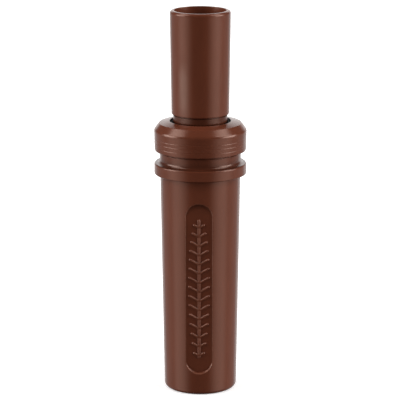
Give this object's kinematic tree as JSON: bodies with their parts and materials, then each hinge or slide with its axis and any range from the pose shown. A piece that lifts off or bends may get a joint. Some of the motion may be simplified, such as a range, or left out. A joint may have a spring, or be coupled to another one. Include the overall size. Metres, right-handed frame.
{
  "type": "duck call",
  "caption": "Moulded plastic duck call: a tapered barrel with a lanyard groove and a recessed panel, and a pull-out insert with tone board, reeds and cork wedge.",
  "frame": {"origin": "centre of the mouth face, the flat ring at the end of the barrel that the call stands on", "axes": "+Z along the bore from the mouth to the exhaust end; -Y is the front, which the label panel and the reeds face"},
  "size_m": [0.0335, 0.0334, 0.14],
  "materials": {
    "barrel_plastic": "moulded brown plastic, satin gloss",
    "insert_plastic": "moulded brown plastic, satin gloss",
    "ring_rubber": "black nitrile rubber, lightly greased",
    "reed_film": "frosted polyester film",
    "cork": "fine natural cork, matt"
  },
  "bodies": {
    "barrel": {"barrel": "barrel_plastic"},
    "seal_rings": {"upper_o_ring": "ring_rubber", "lower_o_ring": "ring_rubber"},
    "insert": {"insert": "insert_plastic"},
    "lower_reed": {"lower_reed": "reed_film"},
    "upper_reed": {"upper_reed": "reed_film"},
    "wedge_block": {"wedge_block": "cork"}
  },
  "joints": [
    {"name": "insert_slide", "type": "slide", "parent": "barrel", "child": "seal_rings", "axis": [0, 0, 1], "range_m": [0, 0.07]},
    {"name": "insert_turn", "type": "hinge", "parent": "seal_rings", "child": "insert", "pos_m": [0, 0, 0.09], "axis": [0, 0, 1], "continuous": true},
    {"name": "lower_reed_flex", "type": "hinge", "parent": "insert", "child": "lower_reed", "pos_m": [0, 0.0005, 0.072], "axis": [1, 0, 0], "range_deg": [-0.5, 2.1], "stiffness_Nm_per_rad": 0.01, "deforming": ["lower_reed"]},
    {"name": "upper_reed_flex", "type": "hinge", "parent": "insert", "child": "upper_reed", "pos_m": [0, 0.0005, 0.072], "axis": [1, 0, 0], "range_deg": [-0.5, 2.1], "stiffness_Nm_per_rad": 0.01, "deforming": ["upper_reed"]},
    {"name": "wedge_pull", "type": "slide", "parent": "insert", "child": "wedge_block", "axis": [0, 0, -1], "range_m": [0, 0.012]}
  ],
  "couplings": [
    {"joint": "upper_reed_flex", "follows": "lower_reed_flex", "ratio": 1}
  ]
}
